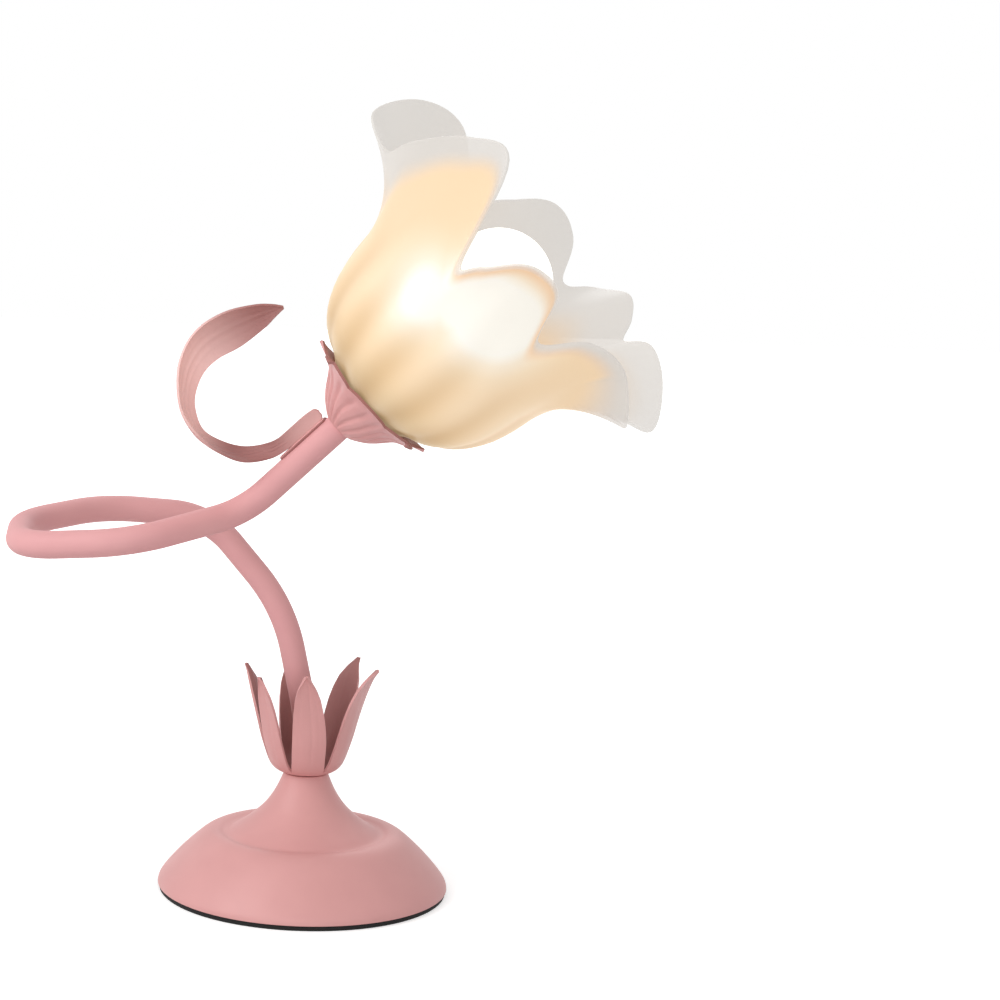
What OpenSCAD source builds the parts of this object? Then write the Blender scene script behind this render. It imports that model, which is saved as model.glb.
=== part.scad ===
// Flower desk lamp: round domed base, bendable stem in a soft sleeve, ruffled glass shade.
// Millimetres. Origin at the centre of the base's underside, +Z up, the front of the lamp faces -Y.

/* [Base] */
// Diameter of the round base
base_d = 140; // [132:1:150]
// Height of the base's neck top above the table
neck_h = 57; // [54:1:62]
// Diameter of the flat top of the base's neck
neck_d = 21; // [19:1:24]
// Wall thickness of the spun steel base cover
cover_t = 1.5; // [1:0.1:2]
// Thickness of the black foot pad
pad_t = 2.5; // [2:0.5:3]
// Bore of the cord inlet bush at the back of the base
inlet_bore_d = 6.2; // [5.6:0.1:7]

/* [Stem] */
// Outer diameter of the soft sleeve over the bendable stem
sleeve_d = 12; // [11.6:0.1:12.6]
// Wall thickness of the soft sleeve
sleeve_t = 1; // [0.8:0.1:1.2]
// Bore of the spiral hose inside the sleeve
hose_bore_d = 6; // [5.6:0.1:6.4]

/* [Leaf crown] */
// Height of the crown of leaves round the foot of the stem
crown_h = 55; // [50:1:60]
// Sheet thickness of the leaves, the flower cup and the clip
leaf_t = 1.2; // [1:0.1:1.5]

/* [Flower] */
// Depth of the flower cup along the stem
cup_h = 18.4; // [17.8:0.2:18.8]
// Distance from the flower cup's underside to the tips of the shade's folds
shade_h = 105; // [100:1:110]
// Wall thickness of the glass shade
glass_t = 2.5; // [2:0.1:3]
// Reach of the longest fold of the shade from the flower's axis
fold_reach = 92; // [86:1:96]
// Depth of the narrow pleats on the shade's body
pleat_depth = 0.8; // [0.4:0.1:1.2]
// Diameter of the globe bulb
bulb_d = 45; // [42:1:46]

/* [Curled leaf] */
// Length of the clip that holds the curled leaf on the stem
clip_len = 26; // [24:1:27]
// Width of the curled leaf compared with the one in the picture
leaf_width = 1; // [0.9:0.05:1.1]

/* [Hidden] */
$fn = 48;
neck_r = neck_d / 2;
base_r = base_d / 2;
sleeve_r = sleeve_d / 2;
hose_r = sleeve_r - sleeve_t;
hose_bore_r = hose_bore_d / 2;
metal_r = hose_r - 0.05;
running = 0.05;
free_gap = 0.3;
inlet_r = inlet_bore_d / 2;

// Knuckle at each bending point, in the hinge's own frame
ball_r = sleeve_r - 0.1;
dish_r = ball_r + free_gap;
tongue_half = 4.1;
ear_in = tongue_half + free_gap;
ear_r = 3.9;
pin_r = 1.5;
passage_r = 2.2;
pin_in = passage_r + 0.3;
rim_back = 3;
rim_front = 4.5;
plug_end = 7.2;

// Bends are this much thinner than the straights, and the straights run this far into them
bend_ease = 0.02;
lap = 0.3;

// Route of the stem: corners of the centre line, counted from the neck top
neck_top = [0, 0, neck_h];
route = [
  neck_top,
  neck_top + [0, 0, 23],
  neck_top + [-13, -1, 80],
  neck_top + [-50, -4, 123],
  neck_top + [-98, -17, 127],
  neck_top + [-131, -51, 123],
  neck_top + [-126, -104, 120],
  neck_top + [-77, -118, 125],
  neck_top + [-30.5, -89, 136],
  neck_top + [9.5, -102, 176]
];
last = len(route) - 1;
cup_foot = route[last];
tail_turn = 14;

function unit(v) = v / norm(v);
function along(i) = unit(route[i + 1] - route[i]);
function seg(i) = norm(route[i + 1] - route[i]);
function hinge_at(k) = (route[k] + route[k + 1]) / 2;
function turn_at(i) = acos(along(i - 1) * along(i));
function seat_in(i) = i == 1 ? seg(0) : seg(i - 1) / 2;
function seat_out(i) = i == last - 1 ? seg(i) : seg(i) / 2;
function tangent_at(i) =
  i == last - 1 ? tail_turn
  : i == 1 ? 15
  : min(seat_in(i), seat_out(i)) - plug_end - 0.3;
function bend_radius(i) = tangent_at(i) / tan(turn_at(i) / 2);
function inward(i) = unit(along(i) - along(i - 1) * (along(i - 1) * along(i)));

// Frame with its Z axis along z and its X axis along x, standing at p
function place(p, x, z) = let (y = cross(z, x)) [
  [x[0], y[0], z[0], p[0]],
  [x[1], y[1], z[1], p[1]],
  [x[2], y[2], z[2], p[2]],
  [0, 0, 0, 1]
];

// Hinge axes: side is across the stem and level, up is across both
function level_axis(k) = unit(cross(along(k), [0, 0, 1]));
function upright_axis(k) = unit(cross(level_axis(k), along(k)));
function front_axis(k) = unit(cross(along(k), cross([0, 1, 0], along(k))));
function side_axis(k) = unit(cross(front_axis(k), along(k)));
function hinge_axis(k) =
  k == 1 ? front_axis(k)
  : k == 2 ? side_axis(k)
  : k % 2 == 1 ? level_axis(k)
  : upright_axis(k);

flower_z = along(last - 1);
flower_x = unit(cross([0, 1, 0], flower_z));
flower = place(cup_foot, flower_x, flower_z);

// Smooth line through hand-picked points
function blend4(a, b, c, d, t) =
  0.5 * (2 * b + (c - a) * t + (2 * a - 5 * b + 4 * c - d) * t * t + (3 * b - a - 3 * c + d) * t * t * t);
function spline(p, i, t) = blend4(p[max(i - 1, 0)], p[i], p[i + 1], p[min(i + 2, len(p) - 1)], t);
function smooth(p, n) = concat(
  [for (i = [0:len(p) - 2], k = [0:n - 1]) spline(p, i, k / n)],
  [p[len(p) - 1]]
);
function side(p, i) = let (
    a = p[max(i - 1, 0)],
    b = p[min(i + 1, len(p) - 1)],
    v = unit(b - a)
  )
  [v[1], -v[0]];
function inset(p, t) = [for (i = [0:len(p) - 1]) p[i] - side(p, i) * t];
function reversed(p) = [for (i = [len(p) - 1:-1:0]) p[i]];
function band(p, t) = concat(p, reversed(inset(p, t)));

pink = [0.878, 0.651, 0.647];
pink_light = [0.886, 0.663, 0.671];
black = [0.1, 0.1, 0.1];
steel = [0.62, 0.62, 0.64];
iron = [0.27, 0.27, 0.28];
brass = [0.80, 0.65, 0.34];
white = [0.93, 0.92, 0.90];
copper = [0.55, 0.24, 0.20];

// Base

// Outline of the spun cover, picked for a base 140 across and 57 high
cover_points = [
  [69.6, 2.5], [69, 5], [67, 8], [63, 12.8], [58.4, 17.7], [53, 22.8], [48.6, 26.4],
  [44.8, 28.2], [41.4, 28.4], [38.4, 27.5], [36, 27.8], [32.6, 30], [28, 33.2],
  [23.8, 36.6], [19.6, 40.8], [16.3, 45.2], [13.6, 49.9], [11.5, 54.6], [10.5, 57]
];
cover_outline = smooth([for (p = cover_points) [
  neck_r + (p[0] - 10.5) * (base_r - 0.4 - neck_r) / 59.1,
  pad_t + (p[1] - 2.5) * (neck_h - pad_t) / 54.5
]], 3);
plate_t = 2;
plate_top = pad_t + plate_t;
weight_foot = plate_top;
nut_h = 6;
washer_t = 1.5;
pocket_h = 9;
screw_pcd = 84;
screw_r = 2;
screw_head_r = 3.6;
boss_r = 9;
inlet_z = plate_top + 7.1;
inlet_wall = 1.9;
inlet_back = base_r - 17;
inlet_len = 17;
channel_half = 12;
channel_h = 14.5;
weight_rim_z = pad_t + 7;

module foot_pad() {
  color(black)
  difference() {
    cylinder(r = base_r - 1.2, h = pad_t);
    for (a = [45:90:315]) {
      rotate([0, 0, a]) translate([screw_pcd / 2, 0, -1]) cylinder(r = screw_head_r + 0.6, h = pad_t + 2);
    }
  }
}

module base_plate() {
  color(steel)
  translate([0, 0, pad_t])
  difference() {
    cylinder(r = base_r - 4, h = plate_t);
    for (a = [45:90:315]) {
      rotate([0, 0, a]) translate([screw_pcd / 2, 0, -1]) cylinder(r = screw_r, h = plate_t + 2);
    }
  }
}

module plate_screws() {
  color(steel)
  for (a = [45:90:315]) {
    rotate([0, 0, a]) translate([screw_pcd / 2, 0, pad_t])
    difference() {
      union() {
        translate([0, 0, -1.6]) cylinder(r = screw_head_r, h = 1.6);
        cylinder(r = screw_r, h = plate_t + 7);
      }
      translate([-0.5, -screw_head_r, -2]) cube([1, 2 * screw_head_r, 1.1]);
    }
  }
}

module base_weight() {
  color(iron)
  difference() {
    union() {
      translate([0, 0, weight_foot]) cylinder(r = base_r - 10, h = weight_rim_z - weight_foot);
      translate([0, 0, weight_rim_z]) cylinder(r = base_r - 15, h = 6);
      translate([0, 0, weight_rim_z + 6]) cylinder(r = base_r - 22, h = 6);
      translate([0, 0, weight_rim_z + 12]) cylinder(r = boss_r, h = 8);
    }
    cylinder(r = metal_r + 0.1, h = neck_h);
    translate([0, 0, weight_foot - 1]) cylinder(r = channel_half, h = pocket_h + 1);
    translate([-channel_half, 0, weight_foot - 1]) cube([2 * channel_half, base_r, channel_h + 1]);
    for (a = [45:90:315]) {
      rotate([0, 0, a]) translate([screw_pcd / 2, 0, weight_foot - 1]) cylinder(r = screw_r, h = 9);
    }
  }
}

module base_cover() {
  color(pink)
  difference() {
    union() {
      rotate_extrude($fn = 96) polygon(band(cover_outline, cover_t));
      translate([0, 0, neck_h - cover_t]) cylinder(r = neck_r - 0.3, h = cover_t);
    }
    cylinder(r = base_r + 1, h = pad_t);
    translate([0, 0, neck_h - 12]) cylinder(r = metal_r, h = 20);
    translate([0, inlet_back, inlet_z]) rotate([-90, 0, 0]) cylinder(r = inlet_r + inlet_wall, h = 20);
  }
}

module stem_washer() {
  color(steel)
  translate([0, 0, weight_foot + pocket_h - washer_t])
  difference() {
    cylinder(r = 10, h = washer_t);
    translate([0, 0, -1]) cylinder(r = metal_r + 0.1, h = washer_t + 2);
  }
}

module stem_nut() {
  color(brass)
  translate([0, 0, weight_foot + pocket_h - washer_t - nut_h])
  difference() {
    linear_extrude(nut_h) circle(r = 9.2, $fn = 6);
    translate([0, 0, -1]) cylinder(r = metal_r, h = nut_h + 2);
  }
}

nipple_foot = weight_foot + 1;
nipple_top = neck_h + 7;

module base_nipple() {
  color(brass)
  translate([0, 0, nipple_foot])
  difference() {
    cylinder(r = metal_r, h = nipple_top - nipple_foot);
    translate([0, 0, -1]) cylinder(r = hose_bore_r, h = nipple_top - nipple_foot + 2);
  }
}

module inlet_bush() {
  color(black)
  translate([0, inlet_back, inlet_z]) rotate([-90, 0, 0])
  difference() {
    union() {
      cylinder(r = inlet_r + inlet_wall, h = inlet_len);
      cylinder(r = inlet_r + inlet_wall + 1.6, h = 2);
    }
    translate([0, 0, -1]) cylinder(r = inlet_r, h = inlet_len + 2);
  }
}

module terminal_block() {
  color(white)
  translate([-10, 22, plate_top])
  difference() {
    cube([20, 20, 11]);
    for (x = [5, 15]) {
      translate([x, -1, 5]) rotate([-90, 0, 0]) cylinder(r = 1.6, h = 22);
      translate([x, 10, 5]) cylinder(r = 1.8, h = 7);
    }
  }
}

// Leaf crown: one stamping of six leaves, standing round the foot of the stem
crown_points = [
  [10.4, 0.4], [13.5, 1.4], [16.4, 3.6], [18.4, 7], [20.2, 12], [21.9, 17.5], [23.4, 24], [25, 31],
  [26.6, 37], [28.6, 43], [31.2, 48.4], [34.6, 52.4]
];
// Directions of the gaps between the leaves, counted from the front towards the right
crown_gaps = [32, 104, 169, 226, 284, 334];

module leaf_gap() {
  rotate([90, 0, 90]) linear_extrude(60) polygon([
    [0, 2.6], [0.6, 4], [1.5, 8], [2.4, 14], [3.3, 20], [4.3, 26], [5.6, 32], [7.5, 38], [10, 43.5], [13.5, 48.4],
    [17.6, 52.4], [20, 80], [-20, 80],
    [-17.6, 52.4], [-13.5, 48.4], [-10, 43.5], [-7.5, 38], [-5.6, 32], [-4.3, 26], [-3.3, 20], [-2.4, 14],
    [-1.5, 8], [-0.6, 4]
  ]);
}

module leaf_crown() {
  color(pink)
  translate([0, 0, neck_h])
  scale(crown_h / 55)
  difference() {
    union() {
      rotate_extrude($fn = 72) polygon(band(smooth(crown_points, 3), leaf_t));
      cylinder(r = neck_r - 0.2, h = leaf_t);
    }
    translate([0, 0, -1]) cylinder(r = (sleeve_r + running) * 55 / crown_h, h = 10);
    for (a = crown_gaps) {
      rotate([0, 0, a - 90]) leaf_gap();
    }
  }
}

// Bendable stem

module ring_bend(i, ro, ri) {
  rotate([90, 0, 0]) rotate_extrude(angle = turn_at(i))
  translate([bend_radius(i), 0])
  difference() {
    circle(r = ro - bend_ease);
    if (ri > 0) {
      circle(r = ri + bend_ease);
    }
  }
}

module pipe(ro, ri, from, to) {
  translate([0, 0, from])
  difference() {
    cylinder(r = ro, h = to - from);
    if (ri > 0) {
      translate([0, 0, -1]) cylinder(r = ri, h = to - from + 2);
    }
  }
}

// Round tube that follows the route past corner i, its ends cut short by the two lengths.
// shift moves it sideways out of the bend's plane.
module bent_tube(i, ro, ri, cut_a, cut_b, shift = 0) {
  from = route[i] - along(i - 1) * seat_in(i);
  lead_in = seat_in(i) - tangent_at(i);
  lead_out = seat_out(i) - tangent_at(i);
  multmatrix(place(from, inward(i), along(i - 1)))
  translate([0, shift, 0]) {
    pipe(ro, ri, cut_a, lead_in + lap);
    translate([bend_radius(i), 0, lead_in]) {
      mirror([1, 0, 0]) ring_bend(i, ro, ri);
      rotate([0, turn_at(i), 0]) translate([-bend_radius(i), 0, 0]) pipe(ro, ri, -lap, lead_out - cut_b);
    }
  }
}

// Slice of a ball between two flats, turned about the hinge axis from the given bore outwards
module ball_slice(r, half, bore) {
  rotate([0, 90, 0]) rotate([0, 0, 50]) rotate_extrude()
  intersection() {
    circle(r = r);
    translate([bore, -half]) square([2 * r, 2 * half]);
  }
}

// Ball on the start of a stretch: a slice with a bore for the hinge pins and a passage for the leads
module ball_end(k) {
  multmatrix(place(hinge_at(k), hinge_axis(k), along(k)))
  difference() {
    union() {
      ball_slice(ball_r, tongue_half, pin_r + running);
      translate([0, 0, rim_front]) cylinder(r = sleeve_r - bend_ease, h = plug_end + lap - rim_front);
    }
    translate([0, 0, -sleeve_d]) rotate([0, 0, 25]) cylinder(r = passage_r, h = 2 * sleeve_d);
  }
}

// Fork on the end of a stretch: a dish for the ball, two ears and the hinge pins
module fork_end(k) {
  multmatrix(place(hinge_at(k), hinge_axis(k), along(k))) {
    difference() {
      union() {
        translate([0, 0, -plug_end - lap])
        rotate([0, 0, 35]) cylinder(r = sleeve_r - bend_ease, h = plug_end + lap - rim_back);
        intersection() {
          translate([0, 0, -rim_back - 1])
          rotate([0, 0, 20]) cylinder(r = sleeve_r - 2 * bend_ease, h = rim_back + 1 + 2 * ear_r);
          union() {
            translate([-sleeve_d, 0, 0]) rotate([0, 90, 0]) rotate([0, 0, 30]) cylinder(r = ear_r, h = 2 * sleeve_d);
            translate([-sleeve_d, -ear_r + 0.2, -rim_back - 1]) cube([2 * sleeve_d, 2 * ear_r - 0.4, rim_back + 1]);
          }
        }
      }
      ball_slice(dish_r, ear_in, 0);
      translate([0, 0, -sleeve_d]) rotate([0, 0, 25]) cylinder(r = passage_r, h = sleeve_d - 4);
    }
    for (s = [0, 180]) {
      rotate([0, 0, s]) translate([pin_in, 0, 0]) rotate([0, 90, 0]) cylinder(r = pin_r, h = ear_in + 0.6 - pin_in);
    }
  }
}

module stretch_sleeve(i) {
  color(pink_light) {
    bent_tube(i, sleeve_r, hose_r, i == 1 ? 0 : plug_end, i == last - 1 ? 0 : plug_end);
    if (i > 1) {
      ball_end(i - 1);
    }
    if (i < last - 1) {
      fork_end(i);
    }
  }
}

module stretch_hose(i) {
  color(steel)
  bent_tube(i, metal_r, hose_bore_r, i == 1 ? nipple_top - neck_h : plug_end + lap,
    i == last - 1 ? nipple_in : plug_end + lap);
}

lead_r = 0.9;
lead_apart = 1.05;

module stretch_leads(i) {
  color(copper)
  for (s = [-1, 1]) {
    bent_tube(i, lead_r, 0, i == 1 ? -neck_h + nipple_foot + 1 : -4, i == last - 1 ? 0 : plug_end, s * lead_apart);
  }
}

// Flower head, drawn along its own axis from the cup's underside
nipple_in = 14;
nipple_out = 9;
stud_r = 4.5;
cup_floor_r = sleeve_r + 1.4;
cup_floor_t = leaf_t + 0.4;
cup_nut_h = 3.1;
holder_foot = cup_floor_t + cup_nut_h + 0.8;
holder_neck_r = 10;
holder_r = 14;
neck_step = 4;
shoulder_z = holder_foot + neck_step + 2.5;
shoulder_r = 16.4;
seat_z = shoulder_z + 2;
holder_top = 62;
shell_r = 7.05;
contact_z = 42;

module in_flower() {
  multmatrix(flower) children();
}

module head_nipple() {
  color(brass)
  in_flower()
  difference() {
    union() {
      translate([0, 0, -nipple_in]) cylinder(r = metal_r, h = nipple_in);
      cylinder(r = stud_r, h = nipple_out);
    }
    translate([0, 0, -nipple_in - 1]) cylinder(r = hose_bore_r, h = nipple_in + nipple_out + 2);
  }
}

// Outline of the flower cup, outer side: the bowl, then a tip that curls out and a tip that hugs the glass.
// Every tip lies between the two, by its share in petal_curl.
cup_bowl = [[cup_floor_r, 0], [8.8, 0.6], [11.5, 3.2], [16, 8.3], [19.4, 13], [21.8, 15.6]];
curled_tip = [[24.4, 16.7], [28.5, 17.3], [33.5, 18.4]];
hugging_tip = [[24.8, 18], [27.8, 20.2], [31, 22.4]];
petal_curl = [1, 1, 1, 1, 1, 0.2, 0, 0.45];
petal_count = len(petal_curl);
petal_step = 360 / petal_count;
function cup_line(curl) = [
  for (p = concat(cup_bowl, hugging_tip * (1 - curl) + curled_tip * curl)) [p[0], p[1] * cup_h / 18.4]
];

module petal_gap() {
  linear_extrude(40) polygon([
    [17.5, 0], [23, 0.8], [27, 1.7], [30, 3], [32.5, 5.4], [36, 10], [36, -10], [32.5, -5.4], [30, -3], [27, -1.7],
    [23, -0.8]
  ]);
}

module flower_cup() {
  color(pink)
  in_flower()
  difference() {
    union() {
      for (i = [0:petal_count - 1]) {
        rotate([0, 0, (i - 0.5) * petal_step]) rotate_extrude(angle = petal_step, $fn = 96)
        polygon(band(smooth(cup_line(petal_curl[i]), 3), leaf_t));
      }
      cylinder(r = cup_floor_r + 0.5, h = cup_floor_t);
    }
    translate([0, 0, -1]) cylinder(r = stud_r, h = 5);
    for (i = [0:petal_count - 1]) {
      rotate([0, 0, (i + 0.5) * petal_step]) petal_gap();
    }
  }
}

module cup_nut() {
  color(brass)
  in_flower()
  translate([0, 0, cup_floor_t])
  difference() {
    linear_extrude(cup_nut_h) circle(r = 7, $fn = 6);
    translate([0, 0, -1]) cylinder(r = stud_r, h = cup_nut_h + 2);
  }
}

module holder_body() {
  color(white)
  in_flower()
  difference() {
    union() {
      translate([0, 0, holder_foot - 0.8]) cylinder(r = holder_neck_r, h = neck_step + 0.8);
      translate([0, 0, holder_foot + neck_step]) cylinder(r = holder_r, h = holder_top - holder_foot - neck_step);
      translate([0, 0, shoulder_z]) cylinder(r = shoulder_r, h = seat_z - shoulder_z);
    }
    translate([0, 0, holder_foot - 2]) cylinder(r = stud_r, h = 12);
    translate([0, 0, holder_foot + neck_step + 1.6]) cylinder(r = holder_r - 1.6, h = holder_top);
  }
}

module holder_core() {
  color(white)
  in_flower()
  difference() {
    translate([0, 0, 24]) cylinder(r = holder_r - 1.6, h = 15);
    for (s = [-1, 1]) {
      translate([s * 8, 0, 23]) cylinder(r = 1.2, h = 17);
    }
  }
}

module screw_shell() {
  color(brass)
  in_flower()
  difference() {
    union() {
      translate([0, 0, 39]) cylinder(r = holder_r - 1.6, h = 1);
      translate([0, 0, 39]) cylinder(r = shell_r + 0.5, h = 21);
    }
    translate([0, 0, 40]) cylinder(r = shell_r, h = 22);
    translate([0, 0, 38]) cylinder(r = 4, h = 4);
  }
}

module centre_contact() {
  color(brass)
  in_flower()
  translate([0, 0, 39]) cylinder(r = 2, h = contact_z - 1.05 - 39);
}

module shade_ring() {
  color(white)
  in_flower()
  translate([0, 0, seat_z + glass_t])
  difference() {
    union() {
      cylinder(r = shoulder_r, h = 2);
      cylinder(r = holder_r + 1.8, h = 8);
    }
    translate([0, 0, -1]) cylinder(r = holder_r, h = 10);
  }
}

// Glass shade. The body is a turned bell, above it the wall runs out to a rim of seven wide petals
shade_points = [
  [14.6, 0], [17.2, 0], [19.2, 1.6], [21.8, 4.6], [26, 8], [32, 11.2], [38, 16], [43, 22.4], [47.4, 31.5],
  [49.8, 41], [51, 50]
];
pleat_count = 21;
rim_steps = 5;
mouth_rings = 7;
mouth_start = [51, seat_z + 50];
mouth_lean = [0.18, 0.98];
mouth_pull = 0.68;

// Rim, four points to a petal: angle round the flower, distance from its axis, height over the cup
rim_points = [
  [-12, 70.5, 92.5], [0, 89, 96], [14, 82, 110], [25, 73, 115.5],
  [31, 67, 107.5], [40, 70.5, 114.5], [51, 74.5, 119], [63, 80, 108],
  [70, 68, 100.5], [81, 80.5, 114.5], [93, 77, 119], [110, 58, 109.5],
  [129, 51, 102], [144, 70, 117.5], [159, 82, 114], [174, 87, 99],
  [184, 71, 95], [205, 73, 110.5], [224, 74, 130.5], [240, 74, 138],
  [252, 66, 97.5], [260, 73.5, 104.5], [270, 79, 120], [286, 57, 115.5],
  [300, 50.5, 95.5], [313, 57.5, 110], [326, 69, 111.5], [339, 81.5, 95]
];
rim_len = len(rim_points);
around = rim_len * rim_steps;
function rim_point(i) = rim_points[(i + rim_len) % rim_len] + [360 * floor(i / rim_len), 0, 0];
function rim_between(i, t) = blend4(rim_point(i - 1), rim_point(i), rim_point(i + 1), rim_point(i + 2), t);
function rim_sized(p) = [p[0], p[1] * fold_reach / 92, p[2] + shade_h - 105];
rim_line = [for (i = [0:rim_len - 1], k = [0:rim_steps - 1]) rim_sized(rim_between(i, k / rim_steps))];

function pleat(phi, depth) = depth * cos(pleat_count * phi);
function body_ring(p, phi) = [p[0] + pleat(phi, pleat_depth) * min(1, max(0, p[0] - 20) / 12), seat_z + p[1]];
function mouth_ring(u, rim) = let (
    p0 = mouth_start,
    p1 = p0 + mouth_lean * mouth_pull * (rim[2] - p0[1]),
    p2 = [rim[1], rim[2]],
    p = p0 * (1 - u) * (1 - u) + p1 * 2 * u * (1 - u) + p2 * u * u
  )
  [p[0] + pleat(rim[0], pleat_depth * (1 - u)), p[1]];
body_rings = len(shade_points);
ring_total = body_rings + mouth_rings;
function skin(j, k) = j < body_rings
  ? body_ring(shade_points[j], rim_line[k][0])
  : mouth_ring((j - body_rings + 1) / mouth_rings, rim_line[k]);
function spot(j, k) = let (p = skin(j, k), phi = rim_line[k][0]) [p[0] * cos(phi), p[0] * sin(phi), p[1]];
function outward(j, k) = let (
    up = spot(min(j + 1, ring_total - 1), k) - spot(j - 1, k),
    across = spot(j, (k + 1) % around) - spot(j, (k + around - 1) % around)
  )
  unit(cross(across, up));
shade_outer = [for (j = [0:ring_total - 1], k = [0:around - 1]) spot(j, k)];
shade_inner = [for (j = [0:ring_total - 1], k = [0:around - 1])
  j < 2 ? spot(j, k) + [0, 0, glass_t] : spot(j, k) - outward(j, k) * glass_t];

function cell(a, b, c, d) = [[a, b, c], [a, c, d]];
function quad_faces(n, m, base, flip) = [
  for (j = [0:m - 2], k = [0:n - 1])
    let (
      k2 = (k + 1) % n,
      a = base + j * n + k,
      b = base + j * n + k2,
      c = base + (j + 1) * n + k2,
      d = base + (j + 1) * n + k
    )
    each flip ? cell(a, b, c, d) : cell(a, d, c, b)
];
function seam_faces(n, a0, b0, flip) = [
  for (k = [0:n - 1])
    let (k2 = (k + 1) % n)
    each flip ? cell(a0 + k, a0 + k2, b0 + k2, b0 + k) : cell(a0 + k, b0 + k, b0 + k2, a0 + k2)
];

module shade() {
  inner_base = ring_total * around;
  color([1, 0.95, 0.86, 0.75])
  in_flower()
  polyhedron(
    points = concat(shade_outer, shade_inner),
    faces = concat(
      quad_faces(around, ring_total, 0, false),
      quad_faces(around, ring_total, inner_base, true),
      seam_faces(around, (ring_total - 1) * around, inner_base + (ring_total - 1) * around, false),
      seam_faces(around, 0, inner_base, true)
    )
  );
}

// Globe bulb with a small screw cap
bulb_r = bulb_d / 2;
bulb_top = 114;
globe_z = bulb_top - bulb_r;
globe_cut = -8;
housing_foot = 61;

module bulb_globe() {
  color([1, 0.97, 0.9])
  in_flower()
  translate([0, 0, globe_z])
  difference() {
    sphere(r = bulb_r, $fn = 72);
    sphere(r = bulb_r - 1.2, $fn = 72);
    translate([0, 0, globe_cut - bulb_d]) cylinder(r = bulb_d, h = bulb_d);
  }
}

module bulb_housing() {
  neck_out = sqrt(bulb_r * bulb_r - globe_cut * globe_cut);
  color(white)
  in_flower()
  rotate_extrude($fn = 72) polygon([
    [0, housing_foot], [9, housing_foot], [9.6, housing_foot + 3], [11.5, housing_foot + 11],
    [neck_out - 2, globe_z + globe_cut - 4],
    [neck_out, globe_z + globe_cut], [0, globe_z + globe_cut]
  ]);
}

module led_board() {
  color(steel)
  in_flower()
  translate([0, 0, globe_z + globe_cut]) cylinder(r = 15, h = 1.6);
}

module bulb_cap() {
  color(brass)
  in_flower() {
    translate([0, 0, contact_z + 2]) cylinder(r = 6.95, h = housing_foot - contact_z - 2);
  }
}

module bulb_insulator() {
  color(black)
  in_flower()
  translate([0, 0, contact_z]) cylinder(r = 5, h = 2);
}

module bulb_tip() {
  color(steel)
  in_flower()
  translate([0, 0, contact_z - 1]) cylinder(r = 2.2, h = 1);
}

// Curled leaf on its clip
clip_start = 3;
clip_r = sleeve_r + running;
flange_out = 13.5;
clip_open = 150;

module leaf_clip() {
  color(pink)
  in_flower()
  translate([0, 0, -clip_start - clip_len])
  difference() {
    union() {
      cylinder(r = clip_r + leaf_t, h = clip_len);
      rotate([0, 0, 180]) translate([clip_r + 0.3, -leaf_t / 2, 0]) cube([flange_out - clip_r - 0.3, leaf_t, clip_len]);
    }
    translate([0, 0, -1]) cylinder(r = clip_r, h = clip_len + 2);
    translate([0, 0, -1]) rotate([0, 0, -45]) linear_extrude(clip_len + 2)
    polygon([[0, 0], [10, -10 * tan(clip_open / 2)], [10, 10 * tan(clip_open / 2)]]);
  }
}

// Stations of the blade from the cup's foot: right, towards the back, up, half width seen, half width in depth
root_half = 3.1;
blade_root = -flower_x * (flange_out - root_half) - flower_z * (clip_start + clip_len + 0.1);
blade_next = blade_root - flower_x * 0.9 - flower_z * 5;
blade_points = [
  [blade_root[0], blade_root[1], blade_root[2], root_half, 0], [blade_next[0], blade_next[1], blade_next[2], 3.3, 0.8],
  [-41, 7, -14.9, 2.7, 4.6], [-51, 5, -12.2, 1.7, 6],
  [-60, 3, -6.4, 0.9, 7], [-65.2, 1, 2.6, 2.2, 6.8], [-66.4, 0, 12, 3.4, 6.2], [-64, 0, 23.4, 5.6, 5],
  [-57.5, 0, 32.8, 7.6, 4], [-47, 0, 39.5, 8, 3], [-36, 0, 45, 5.4, 2], [-30, 0, 47.6, 2.8, 1], [-25.5, 0, 49, 0.5, 0.2]
];
blade_line = smooth(blade_points, 3);
blade_rows = len(blade_line);
blade_cols = 7;
blade_t = leaf_t;
cup_depth = 0.22;

function blade_mid(i) = [blade_line[i][0], blade_line[i][1], blade_line[i][2]];
function blade_run(i) = unit(blade_mid(min(i + 1, blade_rows - 1)) - blade_mid(max(i - 1, 0)));
function blade_across(i) = let (
    t = blade_run(i),
    flat = unit([-t[2], 0, t[0]])
  )
  (flat * blade_line[i][3] - [0, 1, 0] * blade_line[i][4]) * leaf_width;
function blade_up(i) = unit(cross(blade_across(i), blade_run(i)));
function blade_spot(i, k, lift) = let (
    s = 2 * k / (blade_cols - 1) - 1,
    w = norm(blade_across(i))
  )
  cup_foot + blade_mid(i) + blade_across(i) * s + blade_up(i) * (lift + cup_depth * w * (s * s - 0.4));
blade_top = [for (i = [0:blade_rows - 1], k = [0:blade_cols - 1]) blade_spot(i, k, blade_t / 2)];
blade_low = [for (i = [0:blade_rows - 1], k = [0:blade_cols - 1]) blade_spot(i, k, -blade_t / 2)];

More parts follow.
